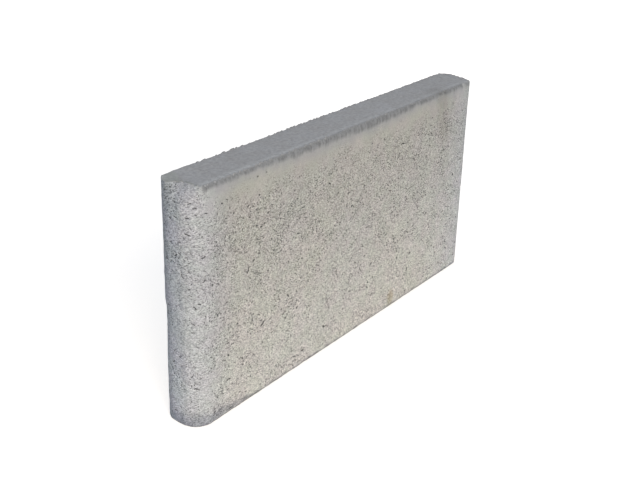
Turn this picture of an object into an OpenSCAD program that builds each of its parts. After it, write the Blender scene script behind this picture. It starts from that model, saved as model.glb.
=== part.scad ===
// Kerb stone for edging paths and lawns, pressed in one piece of concrete.
// It stands on its bed, with the pressed face on top and its two long faces upright.
// X runs along the stone, Y across its thickness and Z up, all from the middle of the bed.

/* [Stone] */
// Length over the two rounded ends, in mm
stone_length = 500; // [250:5:1000]
// Height from the bed to the pressed top face, in mm
stone_height = 250; // [150:5:400]
// Thickness between the two long faces, in mm
stone_thickness = 50; // [46:1:120]

/* [Rounded ends] */
// Radius of the upright corners at both ends, in mm
end_radius = 20; // [5:0.5:22]

/* [Bevelled top edges] */
// Width that the bevel takes off the top face, in mm
bevel_width = 3; // [1:0.5:8]
// Height that the bevel takes off the long face, in mm
bevel_drop = 5; // [1:0.5:20]

/* [Hidden] */
// Length of the long faces between the rounded corners
straight_length = stone_length - 2 * end_radius;
// Width of the flat nose left between the rounded corners of an end
nose_width = stone_thickness - 2 * end_radius;
// Warm grey of dry concrete
concrete = [0.69, 0.67, 0.64];
$fn = 96;

// The stone seen from above: a strip with its four corners rounded
module plan_outline() {
    square([straight_length, stone_thickness], center = true);
    square([stone_length, nose_width], center = true);
    for (end = [-1, 1], side = [-1, 1])
        translate([end * straight_length / 2, side * nose_width / 2])
            circle(r = end_radius);
}

// Wedge above one long top edge. Its slope passes through both edges of the bevel and
// stays straight over the whole length, so the bevel dies out on the rounded ends.
module bevel_wedge() {
    translate([0, -stone_thickness / 2, stone_height])
        rotate([90, 0, 90])
            linear_extrude(height = stone_length, center = true)
                polygon([
                    [-bevel_width, -2 * bevel_drop],
                    [2 * bevel_width, bevel_drop],
                    [-bevel_width, bevel_drop]
                ]);
}

// The whole stone: the outline raised to full height, less the two top edges
module kerb_stone() {
    color(concrete)
        difference() {
            linear_extrude(height = stone_height)
                plan_outline();
            bevel_wedge();
            mirror([0, 1, 0])
                bevel_wedge();
        }
}

kerb_stone();
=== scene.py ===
"""Pressed concrete kerb stone: a pored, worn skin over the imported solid, its finish, and the studio.

Lengths are in millimetres, apart from those of the mesh and the studio, which are in metres. x runs from the
near end to the far one, y from the front to the back, and z up from the bed. A named pair of places is the
start and the end of an eased step.
"""
import math
from types import SimpleNamespace

import bpy
import numpy as np
from mathutils import Matrix, Vector, kdtree, noise
from mathutils.geometry import delaunay_2d_cdt


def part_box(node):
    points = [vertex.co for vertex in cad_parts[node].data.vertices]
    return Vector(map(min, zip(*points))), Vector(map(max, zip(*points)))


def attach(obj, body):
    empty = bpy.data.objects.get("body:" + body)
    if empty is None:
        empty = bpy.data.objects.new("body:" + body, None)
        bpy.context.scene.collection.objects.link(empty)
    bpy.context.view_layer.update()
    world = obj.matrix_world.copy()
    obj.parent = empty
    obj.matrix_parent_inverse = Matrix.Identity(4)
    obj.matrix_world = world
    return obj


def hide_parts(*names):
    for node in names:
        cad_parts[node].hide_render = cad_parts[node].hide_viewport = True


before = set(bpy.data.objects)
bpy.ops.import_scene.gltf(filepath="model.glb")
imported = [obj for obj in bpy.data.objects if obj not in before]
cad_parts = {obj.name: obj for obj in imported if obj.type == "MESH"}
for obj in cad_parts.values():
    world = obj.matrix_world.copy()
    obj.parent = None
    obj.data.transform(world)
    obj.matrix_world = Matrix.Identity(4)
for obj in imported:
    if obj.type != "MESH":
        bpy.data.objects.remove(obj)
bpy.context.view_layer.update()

# Sizes of the stone, whose box comes from the frame
MM = 0.001
node_low, node_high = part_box("kerb_stone")
LENGTH, THICKNESS, HEIGHT = ((b - a) / MM for a, b in zip(node_low, node_high))
END_RADIUS = 20.0
BEVEL_WIDTH = 3.0
BEVEL_DROP = 5.0
STRAIGHT = LENGTH - 2 * END_RADIUS
NOSE = THICKNESS - 2 * END_RADIUS
END = STRAIGHT / 2
TOP_RIM = THICKNESS / 2 - BEVEL_WIDTH

# Plan of the stone: the corner circles' centres and the turn of the normal, at each end of a straight or arc
QUARTER = math.pi / 2 * END_RADIUS
LEGS = (END, QUARTER, NOSE, QUARTER, STRAIGHT, QUARTER, NOSE, QUARTER, END)
KNOTS = np.concatenate([[0.0], np.cumsum(LEGS)])
PERIMETER = KNOTS[-1]
CENTRE_X = END * np.array([0, -1, -1, -1, -1, 1, 1, 1, 1, 0])
CENTRE_Y = NOSE / 2 * np.array([1, 1, 1, -1, -1, -1, -1, 1, 1, 1])
TURN = np.radians([90, 90, 180, 180, 270, 270, 360, 360, 450, 450])
TINY = 1e-6

# Sandy relief, cut inwards from the solid: its depth, and random waves with their share, size and shift
FACE_RELIEF = 0.4
NOSE_RELIEF = 0.9
NOSE_X = (END - 4, END + 8)
WALL_WAVES = ((0.4, 55, 2.2), (0.35, 13, 6.4), (0.45, 4.5, 9.1))
WALL_LEVEL = 0.45
WALL_SWING = 0.6
WALL_MOST = 1.2
CAP_RELIEF = 0.22
TIP_RELIEF = 0.5
CAP_WAVES = ((0.45, 40, 4.4), (0.4, 8, 7.7))
CAP_LEVEL = 0.5
CAP_MOST = 1.3

# The settled top, with its higher near back corner and its sunk far front corner
TOP_SETTLE = 1.8
CORNER_LIFT = 0.8
LIFT_X = (-175, -215)
LIFT_Y = (0, 20)
FAR_SINK = 2.4
SINK_X = (END - 2, END + 16)
SINK_Y = (-16, 34)

# The front half of the near end, worn back under the top to the edge of the pressed film
FILM_END = 236.5
LEAN_SHARE = 0.9
LEAN_Y = (-4, 10)
LEAN_FOOT = 222.0

# The dent in the near end
DENT_DEPTH = 0.9
DENT_X = (-END - 2, -END - 13)
DENT_Y = (2, 14)
DENT_BELOW = (60, 107)
DENT_ABOVE = (127, 121)

# Worn arrises: their radius, and nicks with their share, size and shift
FACE_ARRIS = 0.9
NOSE_ARRIS = 1.1
FOOT_ARRIS = 0.8
ARRIS_LEAST = 0.5
ARRIS_NICKED = 1.3
NICKS = ((1.0, 13, 3.1), (0.6, 4, 8.7))
RIM_CUT = 0.3

# Crumbs round the top, as shares of the room that the settled top leaves
CRUMB_SHARE = 0.95
CRUMB_WAVES = ((1.0, 3, 5.3), (0.5, 1.5, 1.9))
CRUMB_BAND = (0.0, 0.24)
CRUMB_LOSS = 0.6
CRUMB_LOSS_X = (-100, 150)
CRUMB_FADE = 2
BACK_RIDGE = 0.40
FRONT_RIDGE = 0.15

# Rows and grid of the mesh
RIM_STEP = 0.8
RIM_ROWS = (0.7, 1.7, 3.2)
RIM_REACH = 8.0
CAP_EDGE = RIM_ROWS[-1] + 1.0
GRID_STEP = 5.0
GRID_JITTER = 0.3
GRID_CLEAR = 0.45
WELD = 1e-5

# Pores: radius, and the rest mostly as shares of the radius or the depth, with the painted shade of their
# rims and floors
SEED = 7
PORE_TRIES = 30000
CAP_TRIES = 900
PORE_SMALLEST = 0.4
PORE_LARGEST = 1.6
PORE_SKEW = 2.4
PORE_GAP = 0.2
PORE_MARGIN = 2.5 * PORE_LARGEST
PORE_REACH = 1.3
NOSE_PORE_SHARE = 0.6
CAP_PORE_SHARE = 0.8
ROUND_SIDES = 6
ROUND_RIM = (0.75, 1.25)
LONG_RIM = (0.6, 1.15)
RIM_DEPTH = 0.04
PORE_RIM_SHADE = 0.1
PORE_DEPTH = (0.9, 1.6)
PORE_FLOOR = (0.75, 1.0)
PORE_SHADE_RANGE = (0.65, 1.0)

# Middle line of a pore: spread of its first bearing and of each turn, and mean number of strides
FACE_LINE = (0.5, 0.5, 0.8)
NOSE_LINE = (0.3, 0.25, 2.2)
STRIDE = (1.1, 1.9)
LINE_MOST = 4

# Share of pore places that are kept: clusters with their share and size, and where pores are closed
CLUSTER_LEVEL = 0.3
CLUSTER_WAVES = ((1.3, 30), (0.8, 11))
CLUSTER_ON_NOSE = 0.1
DENSITY_LEAST = 0.04
SKIN_CLOSED = 0.95
SKIN_Z = (HEIGHT - 60, HEIGHT - 18)
FOOT_CLOSED = 0.8
FOOT_Z = (15, 55)
TOP_DENSITY = 0.02
TIP_DENSITY = 0.2
BED_DENSITY = 0.4


def outline(s):
    """Points and outward normals of the plan at distances s, counterclockwise from the middle of the back."""
    turn = np.interp(s, KNOTS, TURN)
    centre = np.stack([np.interp(s, KNOTS, CENTRE_X), np.interp(s, KNOTS, CENTRE_Y)], axis=-1)
    normal = np.stack([np.cos(turn), np.sin(turn)], axis=-1)
    return centre + END_RADIUS * normal, normal


def wall(s, z):
    """Points and outward normals of the upright sides, where the bevels cut straight along the long faces."""
    plan, turn = outline(s)
    above = np.clip(z - (HEIGHT - BEVEL_DROP), 0.0, None)
    reach = THICKNESS / 2 - BEVEL_WIDTH * above / BEVEL_DROP
    side = np.sign(plan[:, 1])
    bevelled = np.abs(plan[:, 1]) > reach + TINY
    y = np.clip(plan[:, 1], -reach, reach)
    slope = math.hypot(BEVEL_WIDTH, BEVEL_DROP)
    level = np.zeros_like(z)
    upright = np.stack([turn[:, 0], turn[:, 1], level], axis=-1)
    leaning = np.stack([level, side * BEVEL_DROP / slope, np.full_like(z, BEVEL_WIDTH / slope)], axis=-1)
    normals = np.where(bevelled[:, None], leaning, upright)
    return np.stack([plan[:, 0], y, z], axis=-1), normals


def smooth(value, start, end):
    """Eased step from 0 at start to 1 at end."""
    t = np.clip((value - start) / (end - start), 0.0, 1.0)
    return t * t * (3 - 2 * t)


def rough(points, size, shift=0.0):
    """Smooth random value from about -1 to 1 at each point, with features about size millimetres across."""
    return np.array([noise.noise(Vector(p) / size + Vector((shift, shift, shift))) for p in points])


def waves(points, layers):
    """Sum of random values at each point, one for each layer of share, size and shift."""
    return sum(share * rough(points, size, shift) for share, size, shift in layers)


# Pores

class Points:
    """Flat points of one patch before it is folded round the stone, each with the depth of a pore there and
    the painted shade of its colour.
    """

    def __init__(self):
        self.uv = []
        self.depth = []
        self.pore = []

    def add(self, place, depth=0.0, pore=0.0):
        self.uv.append((float(place[0]), float(place[1])))
        self.depth.append(depth)
        self.pore.append(pore)


def crooked_line(rng, radius, level):
    """Middle line of a pore about its own centre: one point or a crooked row of them, near level if asked."""
    spread, turn, strides = NOSE_LINE if level else FACE_LINE
    bearing = rng.normal(0, spread)
    line = [np.zeros(2)]
    for _ in range(min(int(rng.exponential(strides)), LINE_MOST - 1)):
        bearing += rng.normal(0, turn)
        stride = radius * rng.uniform(*STRIDE)
        line.append(line[-1] + stride * np.array([math.cos(bearing), math.sin(bearing)]))
    return np.array(line) - np.mean(line, axis=0)


def scatter(rng, tries, low, high, density, level):
    """Pores from low to high, none overlapping another, each as centre, radius, middle line and reach."""
    kept = []
    cells = {}
    cell = 2 * PORE_LARGEST * LINE_MOST
    for _ in range(tries):
        centre = rng.uniform(low, high)
        radius = PORE_SMALLEST + (PORE_LARGEST - PORE_SMALLEST) * rng.random() ** PORE_SKEW
        flat = level(centre)
        radius *= NOSE_PORE_SHARE if flat else 1.0
        line = crooked_line(rng, radius, flat)
        if rng.random() > density(centre):
            continue
        reach = max(math.hypot(*p) for p in line) + PORE_REACH * radius
        i, j = int(centre[0] // cell), int(centre[1] // cell)
        near = [p for a in (-1, 0, 1) for b in (-1, 0, 1) for p in cells.get((i + a, j + b), ())]
        if any(math.hypot(*(centre - p[0])) < reach + p[3] + PORE_GAP for p in near):
            continue
        pore = (centre, radius, line, reach)
        kept.append(pore)
        cells.setdefault((i, j), []).append(pore)
    return kept


def pore_rim(rng, radius, line):
    """Ragged rim round the middle line of a pore."""
    if len(line) == 1:
        turns = np.linspace(0, 2 * math.pi, ROUND_SIDES, endpoint=False) + rng.uniform(0, 1)
        return [radius * rng.uniform(*ROUND_RIM) * np.array([math.cos(a), math.sin(a)]) for a in turns]
    ahead = np.gradient(line, axis=0)
    ahead /= np.hypot(*ahead.T)[:, None]
    aside = np.column_stack([-ahead[:, 1], ahead[:, 0]])
    rim = [line[0] - ahead[0] * radius, line[-1] + ahead[-1] * radius]
    for p, n in zip(line, aside):
        rim += [p + n * radius * rng.uniform(*LONG_RIM), p - n * radius * rng.uniform(*LONG_RIM)]
    return rim


def dig(points, rng, centre, radius, line):
    """Adds the points of one pore: its rim, and its middle line as the floor, each with the painted shade
    that darkens the pore there.
    """
    depth = radius * rng.uniform(*PORE_DEPTH)
    painted_shade = rng.uniform(*PORE_SHADE_RANGE)
    for p in pore_rim(rng, radius, line):
        points.add(centre + p, RIM_DEPTH * depth, PORE_RIM_SHADE * painted_shade)
    for p in line:
        points.add(centre + p, depth * rng.uniform(*PORE_FLOOR), painted_shade)


def fill(points, rng, low, high, step):
    """Adds a jittered grid between the points that are there already."""
    tree = kdtree.KDTree(len(points.uv))
    for k, (u, v) in enumerate(points.uv):
        tree.insert((u, v, 0.0), k)
    tree.balance()
    jitter = (-GRID_JITTER, GRID_JITTER)
    for u in np.arange(low[0] + step / 2, high[0], step):
        for v in np.arange(low[1] + step / 2, high[1], step):
            place = (u + rng.uniform(*jitter) * step, v + rng.uniform(*jitter) * step)
            if tree.find((*place, 0.0))[2] > GRID_CLEAR * step:
                points.add(place)


def in_pocket(face, rim):
    """Whether a triangle lies in a hollow outside the rim: all its corners are on it, in falling order."""
    start = face.index(min(face))
    return max(face) < rim and face[(start + 1) % 3] > face[(start + 2) % 3]


def triangles(points, rim=0):
    """Counterclockwise Delaunay triangles over flat points, inside the rim that the first points form."""
    flat = [Vector(p) for p in points.uv]
    made = delaunay_2d_cdt(flat, [], [], 0, WELD)
    source = [ids[0] for ids in made[3]]
    faces = [[source[k] for k in face] for face in made[2]]
    return [face for face in faces if not in_pocket(face, rim)]


# The stone's skin

def nose_share(x):
    """0 on the long faces, 1 on the rounded ends."""
    return smooth(np.abs(x), *NOSE_X)


def settle(x, y):
    """How far the top lies below the solid: less at the near back corner and more at the far front one."""
    lift = CORNER_LIFT * smooth(y, *LIFT_Y) * smooth(x, *LIFT_X)
    far = smooth(x, *SINK_X) * (1 - smooth(y, *SINK_Y))
    return TOP_SETTLE * (1 - lift) + FAR_SINK * far


def lean(x, y):
    """How far the rim of the near end is worn back, where its front half stands past the pressed film."""
    return LEAN_SHARE * np.clip(-x - FILM_END, 0, None) * (1 - smooth(y, *LEAN_Y))


def dent(place):
    """Depth of the shallow dent in the hidden corner of the near end, sharp above and fading below."""
    x, y, z = place.T
    corner = smooth(x, *DENT_X) * smooth(y, *DENT_Y)
    return DENT_DEPTH * corner * smooth(z, *DENT_BELOW) * smooth(z, *DENT_ABOVE)


def on_wall(centre):
    """Place on the stone of a flat point of the wall."""
    return wall(centre[:1], centre[1:])[0][0]


def on_nose(centre):
    """Whether a flat point of the wall lies on a rounded end."""
    return abs(on_wall(centre)[0]) > END


def pore_density(centre):
    """Share of pore places that are kept: many in clusters, few under the top of a long face."""
    place = on_wall(centre)
    nose = nose_share(place[0])
    skin = 1 - SKIN_CLOSED * (1 - nose) * smooth(place[2], *SKIN_Z)
    cluster = sum((share * noise.noise(Vector(place) / size) for share, size in CLUSTER_WAVES), CLUSTER_LEVEL)
    cluster += CLUSTER_ON_NOSE * nose
    foot = 1 - FOOT_CLOSED * nose * (1 - smooth(place[2], *FOOT_Z))
    return skin * foot * min(max(cluster, DENSITY_LEAST), 1.0)


def wall_patch(rng):
    """Flat points of the sides, along the outline by height, with the rim's stops and the number of rows."""
    points = Points()
    stops = np.linspace(0.0, PERIMETER, int(PERIMETER / RIM_STEP) + 1)

    # Past the front bevel, the worn near corner would draw the stops together until the rim folds over
    plan, _ = outline(stops)
    bunched = (plan[:, 0] < -FILM_END) & (plan[:, 1] < -TOP_RIM)
    stops = stops[~bunched]

    rows = [0.0, *RIM_ROWS, HEIGHT - BEVEL_DROP, *(HEIGHT - r for r in reversed(RIM_ROWS)), HEIGHT]
    for z in rows:
        for s in stops:
            points.add((s, z))
    for z in np.arange(RIM_ROWS[-1] + GRID_STEP, HEIGHT - BEVEL_DROP - GRID_STEP / 2, GRID_STEP):
        points.add((0.0, z))
        points.add((PERIMETER, z))
    low = (PORE_MARGIN, RIM_ROWS[-1] + PORE_MARGIN)
    high = (PERIMETER - PORE_MARGIN, HEIGHT - BEVEL_DROP - PORE_MARGIN)
    for centre, radius, line, _ in scatter(rng, PORE_TRIES, low, high, pore_density, on_nose):
        dig(points, rng, centre, radius, line)
    fill(points, rng, (0, 0), (PERIMETER, HEIGHT), GRID_STEP)
    return points, stops, len(rows)


def arris(s, at_top):
    """Radius to which the rim is worn at distances s along the outline."""
    plan, _ = outline(s)
    place = np.column_stack([plan, np.full(len(s), HEIGHT if at_top else 0.0)])
    nicks = sum(share * np.clip(rough(place, size, shift), 0, 1) for share, size, shift in NICKS)
    size = FACE_ARRIS + ((NOSE_ARRIS if at_top else FOOT_ARRIS) - FACE_ARRIS) * nose_share(plan[:, 0])
    return size * (ARRIS_LEAST + ARRIS_NICKED * nicks)


def crumbs(s):
    """Lift of the ragged crumbs that the press leaves round the top, most at the near end of the back."""
    plan, _ = outline(s)
    place = np.column_stack([plan, np.full(len(s), HEIGHT)])
    ragged = waves(place, CRUMB_WAVES)
    ridge = np.where(plan[:, 1] > 0, BACK_RIDGE, FRONT_RIDGE)
    size = (1 - ridge) * (1 - CRUMB_LOSS * smooth(plan[:, 0], *CRUMB_LOSS_X))
    room = np.minimum(settle(plan[:, 0], plan[:, 1]), TOP_SETTLE)
    return CRUMB_SHARE * room * (ridge + size * smooth(ragged, *CRUMB_BAND))


def worn_back(radius, away):
    """How far a rounded arris of that radius falls back from a flat face, that far away from its rim."""
    left = np.clip(radius - away, 0, None)
    fall = radius - np.sqrt(np.clip(radius ** 2 - left ** 2, 0, None))
    return np.where(away <= 0, RIM_CUT * radius, np.minimum(fall, RIM_CUT * radius))


def fold_wall(points):
    """Places of the wall's points round the stone, with its relief, pores and worn rims."""
    s, z = np.array(points.uv).T
    plan, _ = outline(s)
    near_top = np.clip(1 - (HEIGHT - z) / RIM_REACH, 0, 1)
    place, normal = wall(s, z - near_top * settle(plan[:, 0], plan[:, 1]))
    relief = FACE_RELIEF + (NOSE_RELIEF - FACE_RELIEF) * nose_share(place[:, 0])
    wave = np.clip(WALL_LEVEL + WALL_SWING * waves(place, WALL_WAVES), 0, WALL_MOST)
    cut = relief * wave + np.array(points.depth) + dent(place)
    place -= normal * cut[:, None]
    risen = np.clip((z - LEAN_FOOT) / (HEIGHT - LEAN_FOOT), 0, 1)
    place[:, 0] += lean(plan[:, 0], plan[:, 1]) * risen ** 2

    foot = z < RIM_REACH
    worn = arris(s[foot], False)
    place[foot] -= normal[foot] * worn_back(worn, z[foot])[:, None]
    place[foot, 2] += np.where(z[foot] == 0, RIM_CUT * worn, 0)

    head = z > HEIGHT - RIM_REACH
    fall = HEIGHT - z[head]
    worn = arris(s[head], True)
    place[head] -= normal[head] * worn_back(worn, fall)[:, None]
    place[head, 2] += crumbs(s[head]) * np.exp(-CRUMB_FADE * fall) - np.where(fall == 0, RIM_CUT * worn, 0)
    return place


def cap(rng, stops, rim, at_top):
    """Top or bed inside its rim: places and pores of its new points, and triangles over the rim and them."""
    points = Points()
    _, turn = outline(stops)
    for inset in (0.0, *RIM_ROWS):
        for (x, y), n in zip(rim[:, :2], turn):
            points.add((x - n[0] * inset, y - n[1] * inset))
    ring = len(stops)

    def inside(flat, margin):
        past = np.clip(np.abs(flat) - np.array([END, NOSE / 2]), 0, None)
        within = np.abs(flat[..., 1]) < TOP_RIM - margin
        if at_top:
            within = within & (lean(flat[..., 0] - margin, flat[..., 1]) == 0)
        return within & (np.hypot(past[..., 0], past[..., 1]) < END_RADIUS - margin)

    def density(centre):
        if not inside(centre, CAP_EDGE + 2 * PORE_LARGEST):
            return 0.0
        return TOP_DENSITY + TIP_DENSITY * nose_share(centre[0]) if at_top else BED_DENSITY

    reach = np.array([LENGTH / 2, THICKNESS / 2])
    for centre, radius, line, _ in scatter(rng, CAP_TRIES, -reach, reach, density, lambda centre: False):
        dig(points, rng, centre, CAP_PORE_SHARE * radius, CAP_PORE_SHARE * line)
    fill(points, rng, -reach, reach, GRID_STEP)
    flat = np.array(points.uv)
    kept = inside(flat, CAP_EDGE)
    kept[:ring * (1 + len(RIM_ROWS))] = True
    points.uv = [tuple(p) for p in flat[kept]]
    flat = flat[kept]
    depth = np.array(points.depth)[kept]
    pore = np.array(points.pore)[kept]

    up = 1.0 if at_top else -1.0
    place = np.column_stack([flat, np.full(len(flat), HEIGHT if at_top else 0.0)])
    relief = CAP_RELIEF + TIP_RELIEF * nose_share(flat[:, 0])
    wave = np.clip(CAP_LEVEL + waves(place, CAP_WAVES), 0, CAP_MOST)
    place[:, 2] -= up * (relief * wave + depth)
    if at_top:
        place[:, 2] -= settle(flat[:, 0], flat[:, 1])
    radius = arris(stops, at_top)
    fin = crumbs(stops) if at_top else 0.0
    for k, inset in enumerate(RIM_ROWS, 1):
        row = slice(ring * k, ring * (k + 1))
        place[row, 2] += fin * math.exp(-CRUMB_FADE * inset) - up * worn_back(radius, np.full(ring, inset))
    return place[ring:], pore[ring:], triangles(points, ring)


def build_skin():
    """One closed mesh of the stone, with its pores, worn edges and crumbs."""
    rng = np.random.default_rng(SEED)
    points, stops, rows = wall_patch(rng)
    faces = triangles(points)
    place = fold_wall(points)
    verts = list(place)
    pore = list(points.pore)

    # The wall's first and last columns are one
    first = {round(z, 3): k for k, (s, z) in enumerate(points.uv) if s == 0.0}
    merge = {k: first[round(z, 3)] for k, (s, z) in enumerate(points.uv) if s == PERIMETER}

    ring = len(stops) - 1
    for at_top in (False, True):
        start = (rows - 1) * len(stops) if at_top else 0
        new, new_pore, new_faces = cap(rng, stops[:-1], place[start:start + ring], at_top)
        shift = len(verts) - ring
        for face in new_faces:
            ids = [start + k if k < ring else shift + k for k in face]
            faces.append(ids if at_top else ids[::-1])
        verts += list(new)
        pore += list(new_pore)

    # Close up the numbering over the merged points
    number = np.cumsum([k not in merge for k in range(len(verts))]) - 1
    faces = [[int(number[merge.get(k, k)]) for k in face] for face in faces]
    kept = [k for k in range(len(verts)) if k not in merge]
    mesh = bpy.data.meshes.new("kerb_stone_skin")
    mesh.from_pydata([tuple(verts[k] * MM) for k in kept], [], faces)
    # The pore attribute carries painted shade for the pores' hollows.
    layer = mesh.attributes.new("pore", "FLOAT", "POINT")
    layer.data.foreach_set("value", np.array([pore[k] for k in kept], dtype=np.float32))
    mesh.shade_smooth()
    return mesh


def make_stone():
    """The visible stone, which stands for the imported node."""
    stone = bpy.data.objects.new("kerb_stone_skin", build_skin())
    bpy.context.scene.collection.objects.link(stone)
    stone.data.materials.append(concrete())
    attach(stone, "root")
    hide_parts("kerb_stone")


# Materials

class Nodes:
    """A node tree written as steps: each call adds a node and returns its output."""

    def __init__(self, tree):
        self.tree = tree
        tree.nodes.clear()

    def feed(self, socket, value):
        if isinstance(value, bpy.types.NodeSocket):
            self.tree.links.new(value, socket)
        else:
            socket.default_value = value

    def add(self, kind, inputs=(), output=0, **settings):
        node = self.tree.nodes.new(kind)
        for name, value in settings.items():
            setattr(node, name, value)
        for key, value in dict(inputs).items():
            self.feed(node.inputs[key], value)
        return node.outputs[output] if node.outputs else node

    def math(self, operation, a, b=0.0, c=0.0):
        return self.add("ShaderNodeMath", {0: a, 1: b, 2: c}, operation=operation)

    def both(self, *masks):
        """Product of masks."""
        product = masks[0]
        for mask in masks[1:]:
            product = self.math("MULTIPLY", product, mask)
        return product

    def between(self, a, b, share):
        """That share of a, and the rest of b."""
        return self.math("MULTIPLY_ADD", a, share, self.math("MULTIPLY", b, 1 - share))

    def shifted(self, value, random, most):
        """Value moved by up to half of most either way by a random value from 0 to 1."""
        return self.math("MULTIPLY_ADD", self.math("SUBTRACT", random, 0.5), most, value)

    def step(self, value, start, end, low=0.0, high=1.0):
        """Eased step from low at start to high at end."""
        inputs = {"Value": value, "From Min": start, "From Max": end, "To Min": low, "To Max": high}
        return self.add("ShaderNodeMapRange", inputs, interpolation_type="SMOOTHSTEP")

    def blend(self, factor, a, b, kind="MIX"):
        inputs = {0: factor, 6: a, 7: b}
        return self.add("ShaderNodeMix", inputs, 2, data_type="RGBA", blend_type=kind)

    def tint(self, factor, colour, low, high):
        """Colour multiplied by a colour between low and high."""
        return self.blend(1.0, colour, self.blend(factor, low, high), "MULTIPLY")

    def shade(self, mask, colour, tone):
        """Colour multiplied by a tone where the mask is 1."""
        return self.tint(mask, colour, WHITE, tone)

    def stretch(self, where, scale):
        return self.add("ShaderNodeVectorMath", {0: where, 1: scale}, operation="MULTIPLY")

    def noise(self, where, size, detail=2.0, roughness=0.5):
        inputs = {"Vector": where, "Scale": 1 / size, "Detail": detail, "Roughness": roughness}
        return self.add("ShaderNodeTexNoise", inputs)

    def cells(self, where, size, output):
        return self.add("ShaderNodeTexVoronoi", {"Vector": where, "Scale": 1 / size}, output)

    def chance(self, where, size):
        """One random value for each cell."""
        return self.add("ShaderNodeSeparateColor", {0: self.cells(where, size, "Color")})


RED_SHARE = 0.8
BLUE_SHARE = 1.7


def grey(value, warmth=0.0):
    """Linear colour of a grey, warmer above 0 and cooler below."""
    return (value * (1 + RED_SHARE * warmth), value, value * (1 - BLUE_SHARE * warmth), 1.0)


WHITE = grey(1.0)

# Noises: size, detail and roughness, the stretch of some, and bands of values for their masks
TONE = (90, 3)
PATCH = (18, 4, 0.6)
CLUSTER = (24, 3, 0.6)
FILM = (4, 5, 0.7)
DRAG = (2.6, 3, 0.6)
DRAG_STRETCH = (1, 0.15, 0.08)
GRAIN = (1.3, 1)
GRAIN_STRETCH = (0.9, 0.9, 1.45)
CREVICE = (1.0, 1)
CREVICE_STRETCH = (0.45, 0.45, 1.3)
HUE = (22, 2)
STAIN = (7, 4, 0.65)
MIDDLE_BAND = (0.35, 0.65)
WIDE_BAND = (0.3, 0.7)
CLUSTER_BAND = (0.36, 0.64)

# Ends, top, and tip of the near end past the film
END_X = (END - 12, END + 12)
FACING_UP = (0.6, 0.85)
TIP_X = (FILM_END - 1, FILM_END + 1)
TIP_SWAY = 3
TIP_BOW = 9
TIP_BOW_Y = (-2, 20)

# Cement paste
PASTE = (grey(0.412, 0.046), grey(0.428, 0.058))
FAR_PASTE = grey(0.42, 0.014)
FAR_PASTE_X = (110, 230)
FAR_PASTE_MOST = 0.6
FACE_TONES = (grey(0.89), grey(1.36))
FACE_TONES_Z = (235, -10)
FACE_TONES_SWAY = 60
NEAR_TONE = grey(0.95)
NEAR_TONE_X = (-150, -225)
FAR_TONE = grey(1.06)
FAR_TONE_X = (205, 240)
END_PASTE = (grey(0.420, -0.010), grey(0.525, -0.002))
END_PASTE_X = (END - 45, END + 20)
END_PASTE_Z = (190, -10)
PATCH_TONES = (grey(0.96), grey(1.04))
HUE_TONES = ((0.985, 1.0, 0.962, 1.0), (1.022, 0.988, 1.0, 1.0))

# Sand grains, with painted highlights on their raised relief, painted shade in its hollows, and painted shade
# in fine pits
BARE_FALL = (10, 50)
BARE_SWAY = 40
BARE_LEAST = 0.15
CROWD = (0.8, 1.0)
END_CROWD = 0.85
GRAIN_CELL = 1.1
GRAIN_TONES = (grey(0.46), grey(1.44))
GRAIN_HIGHLIGHT = grey(0.74, 0.03)
GRAIN_HIGHLIGHT_BAND = (0.52, 0.70)
GRAIN_HIGHLIGHT_MOST = 0.55
GRAIN_SHADE = grey(0.10)
GRAIN_SHADE_BAND = (0.46, 0.30)
GRAIN_SHADE_MOST = 0.65
PIT_SHADE = grey(0.05)
PIT_CELL = 1.9
PIT_LIMIT = (0.66, 0.38)
PIT_LIMIT_ON_END = 0.14
PIT_EDGE = (0.0, 0.1)

# Painted shade on the ends: cooler and darker towards their back, and darker under the top there
SHADE_COOL_TONE = grey(1.0, -0.03)
COOL_Y = (-14, 8)
SHADE_DARK_TONE = grey(0.82)
DARK_Y = (-2, 16)
DARK_FALL = (10, 50)
DARK_LEAST = 0.4
INNER_Y = (17, 8)
SHADE_UNDER_TOP_TONE = grey(0.80)
DULL_Y = (-8, 8)
DULL_FALL = (34, 6)
SHADE_UNDER_RIM_TONE = grey(0.87)
RIM_Y = (-13, -3)
RIM_FALL = (18, 6)

# Dark streaked strip under the long rims
STRIP_START = -238
STRIP_START_X = (STRIP_START, STRIP_START + 5)
STRIP_STOP = 221
STRIP_STOP_X = (STRIP_STOP, STRIP_STOP - 5)
STRIP_SWAY = 16
STRIP_DRAG = 0.2
STRIP_DEPTH = (3, 9)
STRIP_COLOURS = (grey(0.165, 0.005), grey(0.25))
DEEPEST_X = -10
DEEPEST_MORE = 3.5
DEEPEST_AWAY = (170, 40)
TAIL = grey(0.30, -0.02)
TAIL_DEPTH = (5, 19)
TAIL_MOST = 0.6
TAIL_X = (STRIP_START + 5, STRIP_START + 25)
FUZZ_DRAG = 0.5
FUZZ_BAND = (0.40, 0.60)
OVER_RIM = (-1.5, 2.5)
OVER_RIM_SWAY = 20

# Pressed film of the top
FILM_COLOURS = ((0.274, 0.267, 0.264, 1.0), (0.390, 0.378, 0.371, 1.0))
FILM_TONES = ((0.965, 0.955, 0.945, 1.0), (1.04, 1.045, 1.055, 1.0))
# Pale flecks along the front rim of the top: partly worn paste, partly painted highlight on the rim.
PALE_FLECK_AND_HIGHLIGHT = grey(0.49, 0.02)
FLECK_X = (-40, -190)
FLECK_Y = (9 - TOP_RIM, 1 - TOP_RIM)
FLECK_MOST = (0.45, 0.95)
FLECK_BAND = (0.8, 1.2)
FLECK_LEAST = 0.15
FAR_FILM_TONE = grey(0.96)
FAR_FILM_X = (40, 200)
TIP_TONE = (0.97, 1.0, 0.96, 1.0)
ROLLED = grey(0.25)
ROLLED_X = (STRIP_STOP - 3, STRIP_STOP + 7)
ROLLED_FALL = (11, 4)
ROLLED_SWAY = 4
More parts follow.
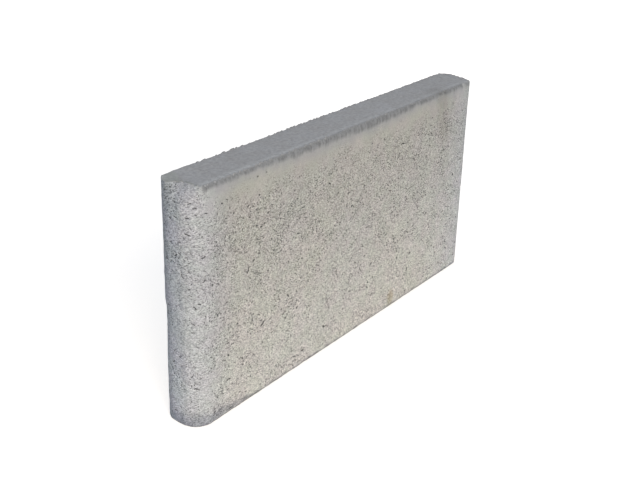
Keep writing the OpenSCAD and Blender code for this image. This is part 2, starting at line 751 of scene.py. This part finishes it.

# Darker, cooler band along the foot, and dirt on the front
FOOT_BAND_REACH = (2.8, 13)
FOOT_BAND_REACH_X = (-150, -238)
FOOT_BAND_HEIGHT = (0.3, 1.5)
FOOT_BAND_SWAY = 1.8
FOOT_BAND_TONES = (grey(0.54, -0.04), grey(0.70, -0.04))
FRONT_Y = (0, -10)
RUST_PLACE = (80, 11)
RUST_REACH = (8, 12)
RUST_AWAY = (1.2, 0.1)
RUST_SWAY = 1.5
RUST_TONE = (0.80, 0.74, 0.65, 1.0)
SMEAR_TOP = 170
SMEAR_LEAN = 0.15
SMEAR_AWAY = (18, 4)
SMEAR_SWAY = 8
SMEAR_Z = (170, 200)
SMEAR_TONE = grey(0.83, 0.012)

# Painted shade in the pores, and the surface
PORE_SHADE = grey(0.04)
PORE_SHADE_BAND = (0.12, 0.5)
PORE_SHADE_MOST = 0.92
BUMP_STRENGTH = 0.5
BUMP_HEIGHT = 0.6
ROUGHNESS = (0.82, 0.95)
ROUGHNESS_BAND = (0.2, 0.8)
SPECULAR = 0.25


def fields(n):
    """Places on the stone in millimetres and random values, which the finishes share."""
    f = SimpleNamespace()
    f.where = n.stretch(n.add("ShaderNodeTexCoord", output="Object"), (1 / MM, 1 / MM, 1 / MM))
    f.x, f.y, f.z = n.add("ShaderNodeSeparateXYZ", {0: f.where}).node.outputs
    f.fall = n.math("SUBTRACT", HEIGHT, f.z)
    f.along = n.math("ABSOLUTE", f.x)
    f.nose = n.step(f.along, *END_X)
    up = n.add("ShaderNodeSeparateXYZ", {0: n.add("ShaderNodeNewGeometry", output="Normal")}, 2)
    f.top = n.step(up, *FACING_UP)
    past_rim = n.math("SUBTRACT", n.math("ABSOLUTE", f.y), TOP_RIM)
    f.over = n.math("ADD", past_rim, n.math("SUBTRACT", f.fall, TOP_SETTLE))
    f.tone = n.noise(f.where, *TONE)
    f.patch = n.noise(f.where, *PATCH)
    f.cluster = n.noise(f.where, *CLUSTER)
    f.film = n.noise(f.where, *FILM)
    f.drag = n.noise(n.stretch(f.where, DRAG_STRETCH), *DRAG)
    f.level = n.stretch(f.where, GRAIN_STRETCH)
    # even and crevice make fine, which drives the bump and the painted highlights and shade of the grains.
    even = n.noise(f.level, *GRAIN)
    crevice = n.noise(n.stretch(f.where, CREVICE_STRETCH), *CREVICE)
    f.fine = n.math("MULTIPLY_ADD", n.math("SUBTRACT", crevice, even), f.nose, even)
    bow = n.math("SUBTRACT", n.step(f.y, *TIP_BOW_Y, 0, TIP_BOW), f.x)
    f.tip = n.step(n.shifted(bow, f.patch, TIP_SWAY), *TIP_X)
    return f


def paste(n, f):
    """Cement paste: warm on the long faces, cooler on the ends, paler towards the bed, in faint hues."""
    colour = n.blend(n.step(f.tone, *MIDDLE_BAND), *PASTE)
    colour = n.blend(n.step(f.x, *FAR_PASTE_X, 0, FAR_PASTE_MOST), colour, FAR_PASTE)
    colour = n.tint(n.step(n.shifted(f.z, f.tone, FACE_TONES_SWAY), *FACE_TONES_Z), colour, *FACE_TONES)
    colour = n.shade(n.step(f.x, *NEAR_TONE_X), colour, NEAR_TONE)
    colour = n.shade(n.step(f.x, *FAR_TONE_X), colour, FAR_TONE)
    end = n.blend(n.step(f.z, *END_PASTE_Z), *END_PASTE)
    colour = n.blend(n.step(f.along, *END_PASTE_X), colour, end)
    colour = n.tint(n.step(f.patch, *WIDE_BAND), colour, *PATCH_TONES)
    hue = n.step(n.noise(f.where, *HUE), *MIDDLE_BAND)
    return n.tint(hue, colour, *HUE_TONES)


def sand(n, f, colour):
    """Grains with painted highlights and shade that follow the bump's relief, and painted shade in fine pits,
    in clusters, few in the smooth skin under the top of a long face.
    """
    skin = n.step(n.shifted(f.fall, f.cluster, BARE_SWAY), *BARE_FALL, BARE_LEAST, 1)
    bare = n.math("MAXIMUM", skin, f.nose)
    crowd = n.both(bare, n.step(f.cluster, *CLUSTER_BAND, *CROWD), n.step(f.nose, 0, 1, 1, END_CROWD))
    grains = n.tint(n.chance(f.level, GRAIN_CELL), colour, *GRAIN_TONES)
    colour = n.blend(crowd, colour, grains)
    # Painted highlight where the fine relief rises and painted shade where it sinks.
    highlight = n.both(n.step(f.fine, *GRAIN_HIGHLIGHT_BAND, 0, GRAIN_HIGHLIGHT_MOST), crowd)
    colour = n.blend(highlight, colour, GRAIN_HIGHLIGHT)
    painted_shade = n.both(n.step(f.fine, *GRAIN_SHADE_BAND, 0, GRAIN_SHADE_MOST), crowd)
    colour = n.blend(painted_shade, colour, GRAIN_SHADE)
    # Painted shade in fine pits.
    limit = n.step(f.cluster, *CLUSTER_BAND, *PIT_LIMIT)
    limit = n.math("MULTIPLY_ADD", f.nose, PIT_LIMIT_ON_END, limit)
    size = n.math("SUBTRACT", n.chance(f.level, PIT_CELL), limit)
    pit_shade = n.step(n.math("SUBTRACT", size, n.cells(f.level, PIT_CELL, "Distance")), *PIT_EDGE)
    return n.blend(n.both(pit_shade, bare), colour, PIT_SHADE)


def painted_shade_on_ends(n, f, colour):
    """Painted shade on the ends: darker and cooler towards their back, and darker still under the top there.
    """
    # Painted shade: the backs of the ends are tinted cooler and darker, and the part under the top darker
    # still.
    colour = n.shade(n.both(f.nose, n.step(f.y, *COOL_Y)), colour, SHADE_COOL_TONE)
    painted_shade = n.both(n.step(f.y, *DARK_Y), n.step(f.fall, *DARK_FALL, DARK_LEAST, 1))
    colour = n.shade(n.both(f.nose, painted_shade), colour, SHADE_DARK_TONE)
    inner = n.both(f.nose, n.step(f.y, *INNER_Y))
    shade_under_top = n.both(n.step(f.fall, *DULL_FALL), n.step(f.y, *DULL_Y))
    colour = n.shade(n.both(inner, shade_under_top), colour, SHADE_UNDER_TOP_TONE)
    rim = n.both(n.step(f.fall, *RIM_FALL), n.step(f.y, *RIM_Y))
    return n.shade(n.both(inner, rim), colour, SHADE_UNDER_RIM_TONE)


def pressed_top(n, f, colour):
    """Smooth cool film on the top, flecked pale at the front rim, partly worn paste and partly painted
    highlight along the rim, and rolled over the far front corner.
    """
    film = n.blend(n.step(f.film, *WIDE_BAND), *FILM_COLOURS)
    film = n.tint(n.step(f.patch, *WIDE_BAND), film, *FILM_TONES)
    most = n.step(f.x, *FLECK_X, *FLECK_MOST)
    flecks = n.step(n.math("ADD", f.drag, f.film), *FLECK_BAND, FLECK_LEAST, 1)
    film = n.blend(n.both(n.step(f.y, *FLECK_Y, 0, most), flecks), film, PALE_FLECK_AND_HIGHLIGHT)
    film = n.shade(n.step(f.x, *FAR_FILM_X), film, FAR_FILM_TONE)
    film = n.shade(f.tip, film, TIP_TONE)
    rolled = n.step(n.shifted(f.fall, f.film, ROLLED_SWAY), *ROLLED_FALL)
    colour = n.blend(n.both(rolled, n.step(f.x, *ROLLED_X)), colour, ROLLED)
    return n.blend(f.top, colour, film)


def dark_rim_strip(n, f, colour):
    """Dark streaked strip under the long rims, ragged and fading below."""
    deeper = n.math("ABSOLUTE", n.math("SUBTRACT", f.x, DEEPEST_X))
    deeper = n.step(deeper, *DEEPEST_AWAY, 0, DEEPEST_MORE)
    ragged = n.between(f.drag, f.patch, STRIP_DRAG)
    depth = n.math("SUBTRACT", n.shifted(f.fall, ragged, STRIP_SWAY), deeper)
    ends = n.both(n.step(f.x, *STRIP_START_X), n.step(f.x, *STRIP_STOP_X))
    tail = n.both(n.step(depth, *TAIL_DEPTH, TAIL_MOST, 0), n.math("SUBTRACT", 1.0, f.top))
    colour = n.blend(n.both(tail, n.step(f.x, *TAIL_X), ends), colour, TAIL)
    fuzz = n.between(f.drag, f.film, FUZZ_DRAG)
    below = n.step(n.shifted(f.over, fuzz, OVER_RIM_SWAY), *OVER_RIM)
    strip = n.both(below, n.step(depth, *STRIP_DEPTH, 1, 0), ends)
    return n.blend(strip, colour, n.blend(n.step(fuzz, *FUZZ_BAND), *STRIP_COLOURS))


def foot_band_and_dirt(n, f, colour):
    """Darker, cooler band along the foot, highest on the near end, and a rusty run and a dark smear on the
    front.
    """
    stain = n.noise(f.where, *STAIN)
    reach = n.step(f.x, *FOOT_BAND_REACH_X, *FOOT_BAND_REACH)
    height = n.shifted(n.math("DIVIDE", f.z, reach), stain, FOOT_BAND_SWAY)
    mottled = n.blend(n.step(stain, *MIDDLE_BAND), *FOOT_BAND_TONES)
    colour = n.shade(n.step(height, *FOOT_BAND_HEIGHT, 1, 0), colour, mottled)

    front = n.step(f.y, *FRONT_Y)
    aside = n.math("DIVIDE", n.math("SUBTRACT", f.x, RUST_PLACE[0]), RUST_REACH[0])
    above = n.math("DIVIDE", n.math("SUBTRACT", f.z, RUST_PLACE[1]), RUST_REACH[1])
    away = n.math("ADD", n.math("MULTIPLY", aside, aside), n.math("MULTIPLY", above, above))
    rust = n.both(n.step(n.shifted(away, stain, RUST_SWAY), *RUST_AWAY), front)
    colour = n.shade(rust, colour, RUST_TONE)

    middle = n.math("MULTIPLY_ADD", f.fall, SMEAR_LEAN, SMEAR_TOP)
    aside = n.math("ABSOLUTE", n.math("SUBTRACT", f.x, middle))
    smear = n.both(n.step(n.shifted(aside, stain, SMEAR_SWAY), *SMEAR_AWAY), front, n.step(f.z, *SMEAR_Z))
    return n.shade(smear, colour, SMEAR_TONE)


def concrete():
    """Pressed concrete with its pores, pressed top, dark strip under the rims, foot band and dirt, and
    painted light and shade: highlights and shade on the grains, shade in the pits and pores and on the backs
    of the ends.
    """
    material = bpy.data.materials.new("concrete")
    material.use_nodes = True
    n = Nodes(material.node_tree)
    f = fields(n)
    colour = paste(n, f)
    for finish in (sand, painted_shade_on_ends, pressed_top, dark_rim_strip, foot_band_and_dirt):
        colour = finish(n, f, colour)
    # Painted shade in the pores' hollows, from the pore attribute.
    pore = n.add("ShaderNodeAttribute", attribute_name="pore", output="Fac")
    colour = n.blend(n.step(pore, *PORE_SHADE_BAND, 0, PORE_SHADE_MOST), colour, PORE_SHADE)
    bump = {"Strength": BUMP_STRENGTH, "Distance": BUMP_HEIGHT * MM, "Height": f.fine}
    shader = n.add(
        "ShaderNodeBsdfPrincipled",
        {
            "Base Color": colour,
            "Roughness": n.step(f.film, *ROUGHNESS_BAND, *ROUGHNESS),
            "Specular IOR Level": SPECULAR,
            "Normal": n.add("ShaderNodeBump", bump),
        },
    )
    n.add("ShaderNodeOutputMaterial", {"Surface": shader})
    return material


# Studio: places in metres and angles in degrees

CAMERA_PLACE = (-0.8081, -0.5835, 0.5664)
CAMERA_YAW = 54.148
CAMERA_PITCH = 22.458
CAMERA_ROLL = 2.0
CAMERA_LENS = 55.036
CAMERA_SENSOR = 36.0
CAMERA_SHIFT = (-0.0271, -0.06)
FLOOR_SIZE = 12.0
FLOOR_COLOUR = (0.84, 0.80, 0.76, 1.0)
FLOOR_LIFT = 0.54
FLOOR_GLOW = (1.0, 0.96, 0.91, 1.0)
WORLD_LIGHT = (0.30, 0.37, 0.47, 1.0)
KEY_LAMP = {"azimuth": 33, "elevation": 26, "distance": 3.3, "power": 84.0, "colour": (1.0, 0.935, 0.84)}
BACK_LAMP = {"azimuth": -132, "elevation": 20, "distance": 2.6, "power": 26.0, "colour": (1.0, 0.96, 0.90)}
LAMP_SIZE = 1.8


def heading(azimuth, elevation):
    """Unit vector towards a place at that bearing from the front, positive to the left, and that height."""
    a, e = math.radians(azimuth), math.radians(elevation)
    return Vector((-math.sin(a) * math.cos(e), -math.cos(a) * math.cos(e), math.sin(e)))


def seen_directly(n):
    """1 for rays that show the background itself: from the camera, off gloss or through glass."""
    path = n.add("ShaderNodeLightPath").node
    seen = n.math("MAXIMUM", path.outputs["Is Camera Ray"], path.outputs["Is Glossy Ray"])
    return n.math("MAXIMUM", seen, path.outputs["Is Transmission Ray"])


def make_floor():
    """Pale floor that shows white where it is lit and keeps the stone's shadow."""
    bpy.ops.mesh.primitive_plane_add(size=FLOOR_SIZE)
    floor = bpy.context.object
    floor.name = "floor"
    material = bpy.data.materials.new("floor")
    material.use_nodes = True
    n = Nodes(material.node_tree)
    base = n.add("ShaderNodeBsdfDiffuse", {"Color": FLOOR_COLOUR})
    lift = n.math("MULTIPLY", seen_directly(n), FLOOR_LIFT)
    glow = n.add("ShaderNodeEmission", {"Color": FLOOR_GLOW, "Strength": lift})
    n.add("ShaderNodeOutputMaterial", {"Surface": n.add("ShaderNodeAddShader", {0: base, 1: glow})})
    floor.data.materials.append(material)


def make_world():
    """Cool soft light from all round, white to the eye."""
    world = bpy.data.worlds.new("studio")
    world.use_nodes = True
    n = Nodes(world.node_tree)
    light = n.add("ShaderNodeBackground", {"Color": WORLD_LIGHT, "Strength": 1.0})
    white = n.add("ShaderNodeBackground", {"Color": WHITE, "Strength": 1.0})
    mixed = n.add("ShaderNodeMixShader", {0: seen_directly(n), 1: light, 2: white})
    n.add("ShaderNodeOutputWorld", {"Surface": mixed})
    bpy.context.scene.world = world


def make_lamp(name, azimuth, elevation, distance, power, colour):
    """Square soft lamp aimed at the middle of the stone."""
    data = bpy.data.lights.new(name, "AREA")
    data.size = LAMP_SIZE
    data.energy = power
    data.color = colour
    lamp = bpy.data.objects.new(name, data)
    middle = Vector((0, 0, HEIGHT / 2 * MM))
    towards = heading(azimuth, elevation)
    lamp.location = middle + towards * distance
    lamp.rotation_euler = towards.to_track_quat("Z", "Y").to_euler()
    bpy.context.scene.collection.objects.link(lamp)


def make_camera():
    """Camera at the photograph's viewpoint."""
    yaw, pitch, roll = (math.radians(v) for v in (CAMERA_YAW, CAMERA_PITCH, CAMERA_ROLL))
    forward = Vector((math.sin(yaw) * math.cos(pitch), math.cos(yaw) * math.cos(pitch), -math.sin(pitch)))
    level = Vector((math.cos(yaw), -math.sin(yaw), 0))
    upright = level.cross(forward)
    right = level * math.cos(roll) + upright * math.sin(roll)
    up = upright * math.cos(roll) - level * math.sin(roll)
    data = bpy.data.cameras.new("camera")
    data.sensor_width = CAMERA_SENSOR
    data.lens = CAMERA_LENS
    data.shift_x, data.shift_y = CAMERA_SHIFT
    camera = bpy.data.objects.new("camera", data)
    turn = Matrix((right, up, -forward)).transposed().to_4x4()
    camera.matrix_world = Matrix.Translation(CAMERA_PLACE) @ turn
    bpy.context.scene.collection.objects.link(camera)
    bpy.context.scene.camera = camera


make_stone()
make_floor()
make_world()
make_lamp("key", **KEY_LAMP)
make_lamp("back_fill", **BACK_LAMP)
make_camera()
bpy.context.scene.view_settings.view_transform = "Standard"
